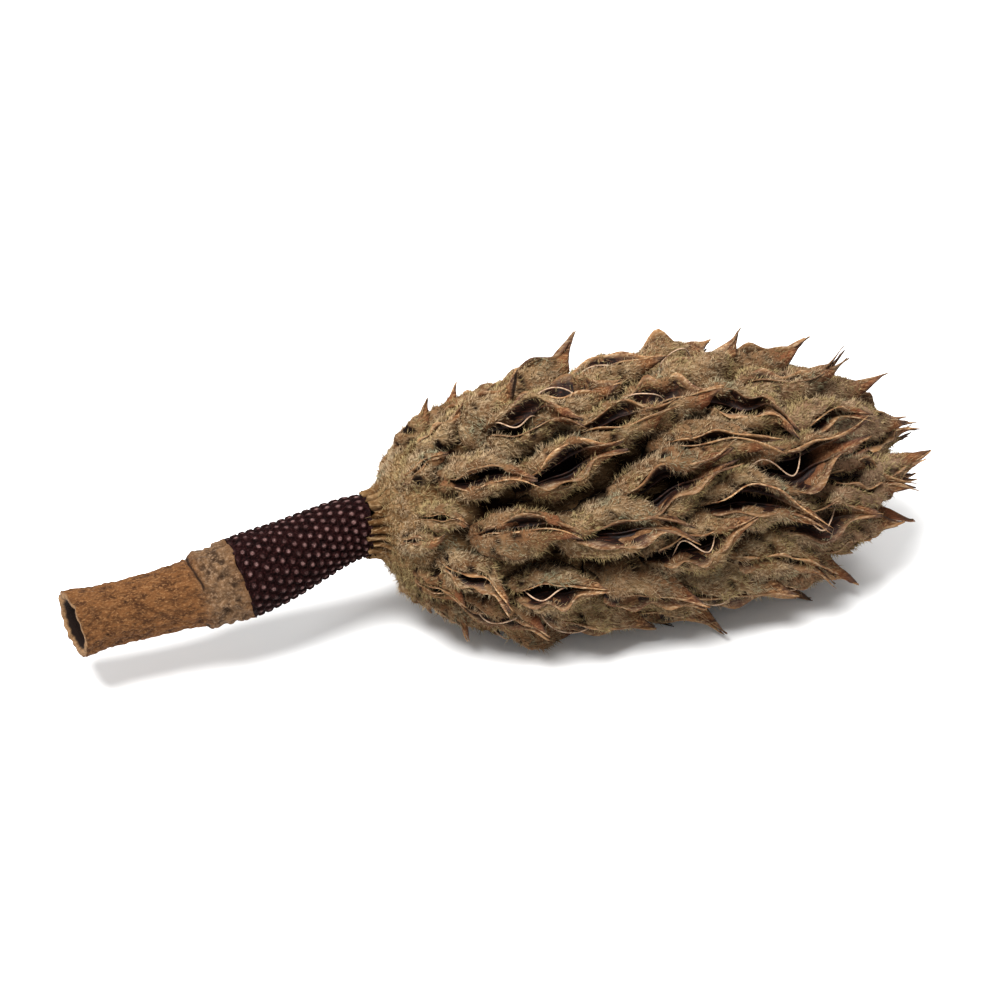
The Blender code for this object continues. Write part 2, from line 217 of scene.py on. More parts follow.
STALK_EDGE, STALK_EDGE_FLARE, STALK_EDGE_ROWS = (0.1 * MM, 1.0 * MM), 0.45 * MM, 2.5
STALK_UNDER_EDGE, STALK_BARK_GAPS = 0.4 * MM, (0.1 * MM, 0.3 * MM)
BARK_RING_RADIUS = 5 * MM
BARK_ENDS_OVER = 3  # rows of the sawn end over which the bark's relief fades
# The sawn end from its rim to the bottom of the hollow pith: how far in from the stalk's end, and radius
SAWN_IN = np.array([0.1, 0, 0, 0.1, 0.6, 3.0, 5.0, 5.0])[:, None] * MM
SAWN_RADIUS = np.array([5.3, 5.0, 4.5, 4.15, 3.8, 3.4, 2.2, 0.05])[:, None] * MM
# rows at the bottom of the pith that are painted in full shade
PITH_SHADE_ROWS = 4
SAWN_ROUGHNESS, ROUGH_FROM_END = 0.12 * MM, (MM, 0.5 * MM)
SAWN_SLANT, SAWN_SLANT_TURN, SLANT_OVER = 2.4 * MM, math.radians(195), 12 * MM

# Painted shade in the hollows of a noise: its strength, and the depths at which it starts and is full
RIDGE_SHADE, WRINKLE_SHADE = (0.8, 0, 0.9), (0.3, 0.25, 1.1)
GRIT_SHADE, KNOB_SHADE = (0.45, 0.2, 1.2), (0.6, 0.5, 1.3)

# Noises: the size of their waves, how they are squeezed along x (below 1 draws them out), and a seed
FOLDS, LUMPS, GRAIN = (1.7 * MM, 0.3, 21), (3.4 * MM, 0.7, 22), (0.8 * MM, 0.25, 23)
PIT_PLACES, SHADE_BREAKS = (3.0 * MM, 1, 24), (3.6 * MM, 1, 25)
CORE_KNOBS, CORE_FIBRES, CORE_HOLLOWS = (2.4 * MM, 0.4, 31), (MM, 1, 32), (6 * MM, 1, 35)
NECK_RAGS, RIDGE_PATH = (4 * MM, 1, 33), (9 * MM, 1, 34)
COLLAR_GRAINS, SCAR_STRENGTHS = (0.8 * MM, 1, 41), (2.5 * MM, 1, 42)
WRINKLES, BULGES, NODE_KNOBS = (1.2 * MM, 0.18, 51), (4.5 * MM, 1, 52), (1.5 * MM, 1, 53)
GRIT, CRACK_PATH, CRACK_BREAKS = (0.75 * MM, 0.6, 54), (5 * MM, 1, 55), (6 * MM, 1, 58)
STALK_RAGS, SAW_MARKS = (3 * MM, 1, 56), (1.6 * MM, 0, 57)
TUFTS = [(1.1 * MM, 1, seed) for seed in (61, 62, 63)]


# Numbers and curves


def smooth(at, values, where):
    """A curve through (at, values) whose slope at each is that between its neighbours, read at where."""
    slopes = np.gradient(values, at)
    i = np.clip(np.searchsorted(at, where) - 1, 0, len(at) - 2)
    step = at[i + 1] - at[i]
    t = np.clip((where - at[i]) / step, 0, 1)
    rise = (1 + 2 * t) * (1 - t) ** 2 * values[i] + t * t * (3 - 2 * t) * values[i + 1]
    return rise + step * (t * (1 - t) ** 2 * slopes[i] - t * t * (1 - t) * slopes[i + 1])


def blend_weights(corners, samples):
    """Rows of weights that carry a smooth line through that many corners, read at even samples along it."""
    at = np.arange(corners, dtype=float)
    where = np.linspace(0, corners - 1, samples)
    return np.stack([smooth(at, one, where) for one in np.eye(corners)], axis=1)


def unit(vectors):
    """The same directions at length 1."""
    return vectors / np.maximum(np.linalg.norm(vectors, axis=-1, keepdims=True), 1e-12)


def fade(value, start, end):
    """0 at start and before it, 1 at end and past it, straight between."""
    return np.clip((value - start) / (end - start), 0, 1)


def even_turns(count):
    """That many angles evenly round a full turn, from 0."""
    return np.linspace(0, 2 * math.pi, count, endpoint=False)


def ripple(points, noise, waves=14):
    """Smooth noise of about -1 to 1: the sum of sine waves of about its size in random directions."""
    size, squeezed, seed = noise
    draw = np.random.default_rng(seed)
    heading = unit(draw.normal(size=(waves, 3)))
    number = heading * (2 * math.pi / (size * draw.uniform(0.6, 1.5, (waves, 1))))
    shift = draw.uniform(0, 2 * math.pi, waves)
    return np.sin(points * (squeezed, 1, 1) @ number.T + shift).sum(-1) / math.sqrt(waves)


def painted_crease_shade(noise, shade):
    """How much painted shade the hollows of a noise get: 0 where it starts, to its strength where it is
    full.
    """
    strength, starts, full = shade
    return strength * fade(-noise, starts, full)


def ragged_reach(ends, points, noise):
    """How far a ragged edge reaches at each point: between its two ends, by noise."""
    return ends[0] + (ends[1] - ends[0]) * (0.5 + 0.5 * ripple(points, noise))


# The cone and its follicles


def cone_frame():
    """The cone's axis, the direction that its turns start from, and the third direction."""
    axis = np.array([math.cos(CONE_DROOP), 0, -math.sin(CONE_DROOP)])
    side = np.array([0.0, -1, 0])
    return axis, side, np.cross(side, axis)


def settle(points):
    """Heights under PRESSED_BELOW fade towards zero, and what is then lower than the cut lies on Z = 0."""
    z = points[..., 2]
    pressed = np.where(z < PRESSED_BELOW, PRESSED_BELOW * np.exp(z / PRESSED_BELOW - 1), z)
    return np.concatenate([points[..., :2], np.maximum(pressed - FLAT_SPOT_CUT, 0)[..., None]], axis=-1)


def shade_in_cone(points):
    """Painted shade, from 0 at the cone's outer surface to 1 deep inside it,
    by radius from the cone's axis and noise.
    """
    axis, _, _ = cone_frame()
    from_base = points + (0, 0, FLAT_SPOT_CUT) - CONE_BASE
    along = from_base @ axis
    radius = np.linalg.norm(from_base - along[..., None] * axis, axis=-1)
    depth = smooth(LIPS_AT, LIPS_RADIUS, np.clip(along, 0, LIPS_AT[-1])) - radius
    depth = depth + DARK_BREAKS * ripple(points, SHADE_BREAKS)
    return fade(depth, DARK_FROM, DARK_FROM + DARK_OVER)


def follicle_size(along):
    """Follicles grow from the felted neck to the middle of the cone, and shrink a little to the tip."""
    grown = fade(along, FIRST_FOLLICLE, FIRST_FOLLICLE + GROWN_AFTER)
    waned = fade(along, WANES_FROM, LAST_FOLLICLE)
    return SMALLEST_SIZE + (1 - SMALLEST_SIZE) * grown - (1 - TIP_SIZE) * waned


def turned(angle, first, second):
    """Rotation matrices by each angle in the plane of two axes."""
    made = np.tile(np.eye(3), (len(angle), 1, 1))
    made[:, first, first] = made[:, second, second] = np.cos(angle)
    made[:, first, second] = -np.sin(angle)
    made[:, second, first] = np.sin(angle)
    return made


def grow_follicles():
    """Place, frame and form of every follicle, by the same rule and draws as the solids: the golden angle
    round the axis, and an even share of the cone's surface along it. Draws of its own shape the lips."""
    draw = np.random.default_rng(SEED)
    fine = np.linspace(FIRST_FOLLICLE, LAST_FOLLICLE, FINE_STEPS)
    radius = smooth(LIPS_AT, LIPS_RADIUS, fine)
    room = radius * np.hypot(1, np.gradient(radius, fine)) / follicle_size(fine) ** 2
    share = (np.arange(FOLLICLES) + 0.5) / FOLLICLES
    along = np.interp(share, np.cumsum(room) / np.sum(room), fine)
    turn = FIRST_TURN + np.arange(FOLLICLES) * GOLDEN_ANGLE + draw.normal(0, TURN_SPREAD, FOLLICLES)
    size = follicle_size(along) * draw.uniform(*SIZES, FOLLICLES)
    grown_up = fade(along, FIRST_FOLLICLE, FIRST_FOLLICLE + GROWN_AFTER)
    gape = NARROWEST_GAPE + (WIDEST_GAPE - NARROWEST_GAPE) * grown_up * draw.uniform(*OPENED, FOLLICLES)
    yaw = draw.normal(0, YAW_SPREAD, FOLLICLES)
    roll = draw.normal(0, ROLL_SPREAD, FOLLICLES)
    curl = draw.uniform(*CURLS, FOLLICLES)
    swerve = draw.normal(0, SWERVE_SPREAD, FOLLICLES)
    twist = draw.uniform(-1, 1, FOLLICLES)

    axis, start, third = cone_frame()
    outward = np.cos(turn)[:, None] * start + np.sin(turn)[:, None] * third
    radius, ahead = smooth(LIPS_AT, LIPS_RADIUS, np.array([along, along + SLOPE_OVER]))
    lean = np.clip(np.arctan2(ahead - radius, SLOPE_OVER), FLATTEST_LEAN, STEEPEST_LEAN) + LIFT
    forward = np.cos(lean)[:, None] * axis + np.sin(lean)[:, None] * outward
    up = np.cos(lean)[:, None] * outward - np.sin(lean)[:, None] * axis
    basis = np.stack([forward, np.cross(outward, axis), up], axis=2)
    basis = basis @ turned(yaw, 0, 1) @ turned(roll, 1, 2)
    root = CONE_BASE + along[:, None] * axis + radius[:, None] * outward

    own = np.random.default_rng(SEED + 1)
    each_lip = (FOLLICLES, 2)
    rolled = (own.uniform(size=each_lip) < ROLLED_SHARE) * own.uniform(*ROLL_AMOUNTS, each_lip) * LIP_ROLL
    lips = dict(
        wave_length=own.uniform(*LIP_WAVE_LENGTHS, each_lip),
        wave_start=own.uniform(0, 2 * math.pi, each_lip),
        wave_rise=own.uniform(0, LIP_RISE, each_lip),
        roll_out=rolled * grown_up[:, None],
    )
    forked = (own.uniform(size=FOLLICLES) < FORKED_SHARE) * grown_up
    fork = forked * own.uniform(*FORK, FOLLICLES)
    s_bend = own.uniform(-1, 1, FOLLICLES) * S_BEND
    s_start = own.uniform(0, 2 * math.pi, FOLLICLES)
    bends = dict(curl=curl, swerve=swerve, twist=twist, s_bend=s_bend, s_start=s_start)
    form = dict(gape=gape, lips=lips, forked=forked, fork=fork, **bends)
    return dict(basis=basis, root=root, size=size, along=along, **form)


def to_pod(local, grown, chosen=slice(None)):
    """Follicle coordinates of all or the chosen follicles to the pod's, settled on the surface."""
    local = local * grown["size"][chosen, None, None, None]
    placed = np.einsum("nuvj,nij->nuvi", local, grown["basis"][chosen])
    return settle(placed + grown["root"][chosen, None, None])


def valve_lines(x, grown, side):
    """Keel, shoulder, lip and slit floor of one valve of every follicle at the stations x: smooth lines
    through the cuts, opened by the gape, bent and drawn to a point at the beak, with waves and an outward
    roll along the lip. A forked beak's lips part, and its slit runs on almost down to the keel."""
    x = np.atleast_2d(x)
    _, keel, shoulder, shoulder_z, lip, lip_z, floor = [
        smooth(FOLLICLE_CUTS[:, 0], column, x) for column in FOLLICLE_CUTS.T
    ]
    gape, curl, swerve, twist = [grown[key][:, None] for key in ("gape", "curl", "swerve", "twist")]
    forked, fork, s_bend, s_start = [grown[key][:, None] for key in ("forked", "fork", "s_bend", "s_start")]
    lips = {key: draws[:, (side + 1) // 2, None] for key, draws in grown["lips"].items()}
    beak = fade(x, BEAK_STARTS, TIP)
    point = POINTED * fade(x, TIP - POINT_LENGTH, TIP) ** 2
    middle = np.sin(math.pi * np.clip(x / TIP, 0, 1))
    wave = np.sin(x / lips["wave_length"] + lips["wave_start"]) * middle
    roll_out = lips["roll_out"] * middle ** 3

    open_lip = lip * gape * (1 - beak) * (1 + LIP_WAVE * wave)
    lip = np.maximum(open_lip + roll_out + fork * beak ** 1.5, CLOSED_SLIT) * (1 - point * (1 - forked))
    back = shoulder * (NARROW_BACK + (1 - NARROW_BACK) * gape)
    wall = np.maximum(back - lip, FORK_WALL) * (1 - point)
    floor = lip_z + (floor - lip_z) * (SHALLOW_SLIT + (1 - SHALLOW_SLIT) * gape)
    floor = floor + (keel + FORK_WALL - floor) * forked * fade(x, BEAK_STARTS, BEAK_STARTS + FORK_DEEPENS)
    keel, shoulder_z, floor = [z + point * (lip_z - z) for z in (keel, shoulder_z, floor)]

    bend = curl * beak ** 2 * BEAK_CURL
    tilt = side * twist * UNEVEN_LIPS * middle
    weave = s_bend * middle * np.sin(2 * math.pi * x / TIP + s_start)
    return dict(
        keel=keel + bend,
        shoulder=lip + wall,
        shoulder_z=shoulder_z + tilt + bend,
        lip=lip,
        lip_z=lip_z + tilt + bend + lips["wave_rise"] * wave * (1 - beak) + ROLL_RISE * roll_out,
        floor=floor + bend,
        sway=swerve * beak ** 2 * BEAK_CURL + weave,
        beak=beak,
    )


def valve_half(x, grown, side, swell):
    """Points across one valve at each x: a smooth line through VALVE_CORNERS, each of which is read at the
    station to which the notch of a forked beak pulls it back."""
    notch = FORK_NOTCH * grown["forked"][:, None] * fade(x, BEAK_STARTS, TIP) ** 2
    corners = []
    for to_shoulder, to_lip, by_keel, by_shoulder, by_lip, by_floor, by_swell, drop, pulled in VALVE_CORNERS:
        station = x - pulled * notch
        lines = valve_lines(station, grown, side)
        y = side * (to_shoulder * lines["shoulder"] + to_lip * lines["lip"]) + lines["sway"]
        height = by_keel * lines["keel"] + by_shoulder * lines["shoulder_z"] + by_lip * lines["lip_z"]
        corners.append((station, y, height + by_floor * lines["floor"] + by_swell * swell - drop))
    weights = blend_weights(len(VALVE_CORNERS), VALVE_HALF_RING)
    return np.stack([np.stack(part, axis=-1) @ weights.T for part in zip(*corners)], axis=-1)


def ring_normals(grids):
    """Outward unit normals of grids whose columns close round: the way round crossed with the way along."""
    ahead = np.gradient(grids, axis=1)
    around = np.roll(grids, -1, axis=2) - np.roll(grids, 1, axis=2)
    return unit(np.cross(around, ahead))


def stem_line(where):
    """Centre of the stem, and its direction away from the cone, at each distance in where."""
    fine = np.linspace(0, STEM_AT[-1], FINE_STEPS + 1)
    axis, side, _ = cone_frame()
    down = np.cross(axis, side)
    drop = smooth(STEM_AT, STEM_DROP, fine)[:, None]
    swing = smooth(STEM_AT, STEM_SWING, fine)[:, None]
    heading = unit(-axis + drop * down + swing * side)
    step = fine[1] - fine[0]
    centres = CONE_BASE + np.cumsum(heading, axis=0) * step - heading[0] * step - (0, 0, FLAT_SPOT_CUT)
    centre_there, heading_there = [
        np.stack([np.interp(where, fine, part) for part in line.T], axis=-1) for line in (centres, heading)
    ]
    return centre_there, unit(heading_there)


def stem_surface(at, out, turn):
    """Points round the stem, at distances along it and out from it for each row and turn."""
    centres, heading = stem_line(at)
    side = unit(np.cross(heading, (0, 0, 1)))
    down = np.cross(heading, side)
    return centres + out[..., None] * (np.cos(turn)[..., None] * side + np.sin(turn)[..., None] * down)


# Meshes


def skin_faces(count, rows, columns, forked):
    """Four-sided faces over that many closed tubes of rows by columns points. Ends are closed by strips
    straight across the ring or, on forked tubes, across each half of it."""
    index = np.arange(count * rows * columns).reshape(count, rows, columns)
    right = np.roll(index, -1, axis=2)
    sides = np.stack([index[:, :-1], right[:, :-1], right[:, 1:], index[:, 1:]], axis=-1).reshape(-1, 4)
    half = columns // 2 if forked else columns - 1
    j = np.arange(half // 2)
    strip = np.stack([j, j + 1, half - 1 - j, half - j], axis=-1)
    if forked:
        strip = np.concatenate([strip, (half + strip) % columns])
    first = index[:, 0][:, strip[:, ::-1]].reshape(-1, 4)
    last = index[:, -1][:, strip].reshape(-1, 4)
    return np.concatenate([sides, first, last])


def show(name, data):
    """An object of that mesh, light or camera, put in the scene."""
    obj = bpy.data.objects.new(name, data)
    bpy.context.scene.collection.objects.link(obj)
    return obj


def piece(name, points, faces, material, marks, replaces=None):
    """One piece from its points and its faces of one length, with a number at each point for each mark."""
    mesh = bpy.data.meshes.new(name)
    mesh.vertices.add(points.size // 3)
    mesh.vertices.foreach_set("co", np.ascontiguousarray(points, np.float32).ravel())
    mesh.loops.add(faces.size)
    mesh.loops.foreach_set("vertex_index", np.ascontiguousarray(faces, np.int32).ravel())
    mesh.polygons.add(len(faces))
    mesh.polygons.foreach_set("loop_start", np.arange(len(faces), dtype=np.int32) * faces.shape[1])
    mesh.polygons.foreach_set("use_smooth", np.ones(len(faces), bool))
    mesh.update(calc_edges=True)
    for label, values in marks.items():
        kept = mesh.attributes.new(label, "FLOAT", "POINT")
        shown = np.clip(np.broadcast_to(values, points.shape[:-1]), 0, 1)
        kept.data.foreach_set("value", np.ascontiguousarray(shown, np.float32).ravel())
    mesh.materials.append(material)
    obj = show(name, mesh)
    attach(obj, "root")
    if replaces:
        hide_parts(replaces)


def tubes(name, points, material, marks, replaces=None, forked=False):
    """A piece of closed tubes from a grid of points: tube, row along it, column round it."""
    piece(name, points, skin_faces(*points.shape[:3], forked), material, marks, replaces)


# Materials


def colour(r, g, b):
    """A colour from its 0 to 255 screen values."""
    screen = (r / 255, g / 255, b / 255)
    return (*[c / 12.92 if c <= 0.04045 else ((c + 0.055) / 1.055) ** 2.4 for c in screen], 1)


def put(tree, kind, inputs=None, **settings):
    """A node with its settings, and its inputs set to values or linked from sockets."""
    made = tree.nodes.new(kind)
    for key, value in settings.items():
        setattr(made, key, value)
    for key, value in (inputs or {}).items():
        if isinstance(value, bpy.types.NodeSocket):
            tree.links.new(value, made.inputs[key])
        else:
            made.inputs[key].default_value = value
    return made


def mix(tree, factor, a, b):
    """Colour a where the factor is 0, b where it is 1."""
    return put(tree, "ShaderNodeMix", {0: factor, 6: a, 7: b}, data_type="RGBA").outputs[2]


def ramp(tree, value, low, high):
    """0 below low, 1 above high, with soft ends."""
    soft = dict(interpolation_type="SMOOTHSTEP")
    return put(tree, "ShaderNodeMapRange", {0: value, 1: low, 2: high}, **soft).outputs[0]


def mark(tree, name):
    """A mark that the piece carries at its points."""
    return put(tree, "ShaderNodeAttribute", attribute_name=name).outputs["Fac"]


def new_group(name, inputs, outputs):
    """An empty node group, with what it is given and what it puts out."""
    tree = bpy.data.node_groups.new(name, "ShaderNodeTree")
    for direction, sockets in (("INPUT", inputs), ("OUTPUT", outputs)):
        for label, kind in sockets.items():
            tree.interface.new_socket(label, in_out=direction, socket_type="NodeSocket" + kind)
    return tree, tree.nodes.new("NodeGroupInput").outputs, tree.nodes.new("NodeGroupOutput").inputs


def mottle_group():
    """Blotches of three colours in two sizes of noise, and fine relief that follows the smaller size. The
    stretch is below 1 along the fibres."""
    tree, given, out = new_group(
        "mottle",
        dict(Vector="Vector", Stretch="Vector", Scale="Float", Dark="Color", Middle="Color", Light="Color"),
        dict(Color="Color", Height="Float"),
    )
    place = {0: given["Vector"], 1: given["Stretch"]}
    stretched = put(tree, "ShaderNodeVectorMath", place, operation="MULTIPLY")
    finer_by, dark_to_middle, middle_to_light = 5.3, (0.36, 0.6), (0.45, 0.75)
    finer = put(tree, "ShaderNodeMath", {0: given["Scale"], 1: finer_by}, operation="MULTIPLY")
    noises = []
    for scale, detail in ((given["Scale"], 4), (finer.outputs[0], 3)):
        values = {"Vector": stretched.outputs[0], "Scale": scale, "Detail": detail, "Roughness": 0.65}
        noises.append(put(tree, "ShaderNodeTexNoise", values).outputs["Fac"])
    body = mix(tree, ramp(tree, noises[0], *dark_to_middle), given["Dark"], given["Middle"])
    tree.links.new(mix(tree, ramp(tree, noises[1], *middle_to_light), body, given["Light"]), out["Color"])
    tree.links.new(noises[1], out["Height"])


def painted_shade_group():
    """Painted shade: darkens a colour into hollows by a mark from 0 in the open to 1 deep inside."""
    inputs = dict(Color="Color", Depth="Float", Hollow="Color")
    tree, given, out = new_group("hollow", inputs, dict(Color="Color"))
    deep = ramp(tree, given["Depth"], 0, 1)
    tree.links.new(mix(tree, deep, given["Color"], given["Hollow"]), out["Color"])


def mottled(tree, place, scale, dark, middle, light, stretch=(1, 1, 1)):
    """The mottle group's colour and height with its own values."""
    colours = dict(Dark=colour(*dark), Middle=colour(*middle), Light=colour(*light))
    values = dict(Vector=place, Scale=scale, Stretch=stretch, **colours)
    made = put(tree, "ShaderNodeGroup", values, node_tree=bpy.data.node_groups["mottle"])
    return made.outputs["Color"], made.outputs["Height"]


def with_painted_shade(tree, shown, depth, hollow):
    """The colour with the hollow group's painted shade, with its own values."""
    values = dict(Color=shown, Depth=depth, Hollow=colour(*hollow))
    return put(tree, "ShaderNodeGroup", values, node_tree=bpy.data.node_groups["hollow"]).outputs["Color"]


def new_material(name, roughness, shine):
    """A material with its node tree, its shader and the place on the piece."""
    made = bpy.data.materials.new(name)
    made.use_nodes = True
    tree = made.node_tree
    shader = tree.nodes["Principled BSDF"]
    shader.inputs["Roughness"].default_value = roughness
    shader.inputs["Specular IOR Level"].default_value = shine
    return made, tree, shader, put(tree, "ShaderNodeTexCoord").outputs["Object"]


def finish(tree, shader, shown, height, strength, distance):
    """Colour and bump into the shader."""
    tree.links.new(shown, shader.inputs["Base Color"])
    bump = put(tree, "ShaderNodeBump", {"Height": height, "Strength": strength, "Distance": distance})
    tree.links.new(bump.outputs[0], shader.inputs["Normal"])


def felt_material():
    """Olive-tan felt, kept darker than its hairs partly as painted shade among them, browner on some
    follicles and pinkish grey on the last ones. By the lips and on the beaks it is bare wood, redder on
    some, with grey-brown ends. Painted shade darkens the hollows."""
    made, tree, shader, place = new_material("felt", 0.95, 0.1)
    felt, pile = mottled(tree, place, 330, (76, 52, 31), (122, 99, 70), (168, 147, 116), (0.5, 1, 1))
    browned = mix(tree, mark(tree, "tone"), felt, colour(104, 72, 46))
    greyed = mix(tree, mark(tree, "last"), browned, colour(126, 102, 84))
    wood, _ = mottled(tree, place, 600, (44, 22, 10), (98, 62, 36), (170, 131, 92), (0.3, 1, 1))
    reddened = mix(tree, ramp(tree, mark(tree, "tone"), 0, 1.5), wood, colour(106, 60, 38))
    aged = mix(tree, ramp(tree, mark(tree, "beak_end"), 0.6, 1.1), reddened, colour(68, 55, 48))
    shown = mix(tree, mark(tree, "bare"), greyed, aged)
    finish(tree, shader, with_painted_shade(tree, shown, mark(tree, "deep"), (16, 5, 2)), pile, 0.9, 0.0007)
    return made


def core_material():
    """Tan felt at the neck. Painted shade turns it dark brown where the core lies between follicles and in
    the grooves between the neck's ridges.
    """
    made, tree, shader, place = new_material("core", 1, 0)
    felt, pile = mottled(tree, place, 420, (78, 53, 30), (114, 87, 58), (152, 125, 92), (0.5, 1, 1))
    finish(tree, shader, with_painted_shade(tree, felt, mark(tree, "deep"), (14, 5, 3)), pile, 0.8, 0.0006)
    return made


def lining_material():
    """Thin smooth wood: a pale tan rim, and inside the slit reddish brown darkened towards black as painted
    shade. Painted shade also darkens it deep among the follicles.
    """
    made, tree, shader, place = new_material("lining", 0.6, 0.2)
    rim, fibre = mottled(tree, place, 600, (96, 58, 30), (150, 109, 69), (204, 173, 134), (0.3, 1, 1))
    # inside the slit: the wood's reddish brown, darkened towards black as painted shade
    inside, _ = mottled(tree, place, 700, (6, 2, 1), (24, 8, 4), (74, 40, 25), (0.15, 1, 1))
    shown = mix(tree, mark(tree, "rim"), inside, rim)
    finish(tree, shader, with_painted_shade(tree, shown, mark(tree, "deep"), (14, 5, 3)), fibre, 0.3, 0.0002)
    return made


def hair_material():
    """Hairs from a brown foot, its own colour darkened as painted shade among the hairs, to pale at the
    point, in patches of olive, beige and greyish green. Painted shade darkens them in the hollows.
    """
    made, tree, shader, place = new_material("felt_hair", 0.9, 0.1)
    patches = put(tree, "ShaderNodeTexNoise", {"Vector": place, "Scale": 160, "Detail": 3}).outputs["Fac"]
    warm = mix(tree, ramp(tree, patches, 0.42, 0.55), colour(194, 172, 122), colour(206, 178, 142))
    point = mix(tree, ramp(tree, patches, 0.56, 0.66), warm, colour(184, 178, 144))
    shown = mix(tree, mark(tree, "pale"), colour(76, 50, 27), point)
    tree.links.new(with_painted_shade(tree, shown, mark(tree, "deep"), (18, 8, 4)), shader.inputs["Base Color"])
    return made


def thread_material():
    """Pale pinkish tan, a little lighter and darker along the thread."""
    made, tree, shader, place = new_material("seed_thread", 0.6, 0.2)
    shown, fibre = mottled(tree, place, 900, (126, 92, 66), (180, 148, 120), (210, 188, 164))
    finish(tree, shader, shown, fibre, 0.2, 0.0001)
    return made


def scar_material():
    """Dark purple-brown bark with a pale scar on each bump."""
    made, tree, shader, place = new_material("stamen_scar", 0.7, 0.04)
    bark, grit = mottled(tree, place, 600, (8, 1, 1), (20, 4, 4), (45, 22, 21))
    scar, _ = mottled(tree, place, 1200, (54, 30, 29), (98, 70, 67), (142, 116, 112))
    finish(tree, shader, mix(tree, mark(tree, "scar"), bark, scar), grit, 0.5, 0.0002)
    return made


def bark_material():
    """Brown bark with fine fibres, greyer and paler on the node, and paler wood on the sawn end. Painted
    shade darkens its creases and cracks and the bottom of the hollow pith.
    """
    made, tree, shader, place = new_material("bark", 0.85, 0.15)
    fibres, grit = mottled(tree, place, 700, (60, 33, 12), (101, 64, 33), (138, 98, 61), (0.6, 1, 1))
    node, _ = mottled(tree, place, 420, (58, 40, 24), (106, 79, 54), (144, 116, 90))
    wood, _ = mottled(tree, place, 1400, (96, 66, 40), (138, 104, 70), (168, 134, 96))
    shown = mix(tree, mark(tree, "sawn"), mix(tree, mark(tree, "node"), fibres, node), wood)
    finish(tree, shader, with_painted_shade(tree, shown, mark(tree, "deep"), (22, 10, 5)), grit, 0.9, 0.0005)
    return made


def floor_material():
    """Near white, with faint clouds."""
    made, tree, shader, place = new_material("pale_floor", 0.8, 0.1)
    cloud = put(tree, "ShaderNodeTexNoise", {"Vector": place, "Scale": 5}).outputs["Fac"]
    shown = mix(tree, cloud, colour(244, 244, 243), colour(249, 249, 249))
    tree.links.new(shown, shader.inputs["Base Color"])
    return made


# Pieces


def follicle_valves(grown, material):
    """Felted valves: at each station along a follicle, a smooth ring up the right valve and down the left,
    pushed along its normal by folds and lumps of noise and into pits. What the hairs need is given back."""
    own = np.random.default_rng(SEED + 2)
    x = HEEL + (TIP - HEEL) * np.linspace(0, 1, VALVE_ROWS) ** ROW_SPREAD
    swell = SWELL * np.sin(math.pi * np.clip(x / SWELL_ENDS, 0, 1)) * own.uniform(*SWELLS, (FOLLICLES, 1))
    right, left = [valve_half(x, grown, side, swell) for side in (1, -1)]
    local = np.concatenate([right, left[:, :, -2:0:-1]], axis=2)
    beak = fade(x, BEAK_STARTS, TIP)[:, None]
    column = np.arange(2 * VALVE_HALF_RING - 2)
    up_the_side = np.minimum(column, len(column) - column) / VALVE_HALF_RING
    in_slit = fade(up_the_side, *IN_SLIT)

    spread = local + own.uniform(-NOISE_APART, NOISE_APART, (FOLLICLES, 1, 1, 3))
    lumps = ripple(spread, LUMPS)
    relief = FOLD_HEIGHT * ripple(spread, FOLDS) + LUMP_HEIGHT * lumps
    relief = relief * (1 - SMOOTH_BEAK * beak) * (1 - SMOOTH_SLIT * in_slit)
    relief = relief + GRAIN_HEIGHT * beak * ripple(spread, GRAIN)
    sooner = SOONER_BY_NECK * (1 - fade(grown["along"], *NECK_BLENDS)[:, None, None])
    pits = ripple(spread * grown["size"][:, None, None, None], PIT_PLACES)
    pits = fade(pits, PITS[0] - sooner, PITS[1] - sooner)
    pits = pits * (1 - fade(beak, *PITS_TO_BEAK)) * (1 - fade(up_the_side, *PITS_END))
    local += ring_normals(local) * (relief - PIT_DEPTH * pits)[..., None]
    points = to_pod(local, grown)
    # painted shade: deep among the follicles and in the pits
    shade = np.maximum(shade_in_cone(points), PIT_SHADE * pits)

    towards_tip = fade(grown["along"], WANES_FROM, LAST_FOLLICLE)[:, None, None]
    tone = own.uniform(0, TONE_DRAWN, (FOLLICLES, 1, 1)) + TONE_BY_TIP * towards_tip
    tone = np.clip(tone + TONE_BY_LUMPS * lumps, 0, 1)
    marks = dict(
        # painted shade among the follicles, in the pits and down the slits, fading out along the beak
        deep=np.maximum(shade, in_slit * (1 - fade(beak, *SLIT_SHADE_ENDS))),
        bare=np.maximum(fade(beak, *BARE_BEAK), LIP_BARENESS * fade(up_the_side, *BARE_LIP)),
        beak_end=beak,
        tone=tone,
        last=LAST_GREYED * towards_tip,
    )
    tubes("follicle_valves", points, material, marks, "follicle_cone", forked=True)
    backs = fade(up_the_side, *BACK_STARTS) * (1 - fade(up_the_side, *BACK_ENDS))
    haired = backs * (1 - fade(x, *HAIRS_END))[:, None] * (1 + LEAST_HAIRED - shade)
    return dict(surface=points, haired=haired, tone=tone, deep=shade)


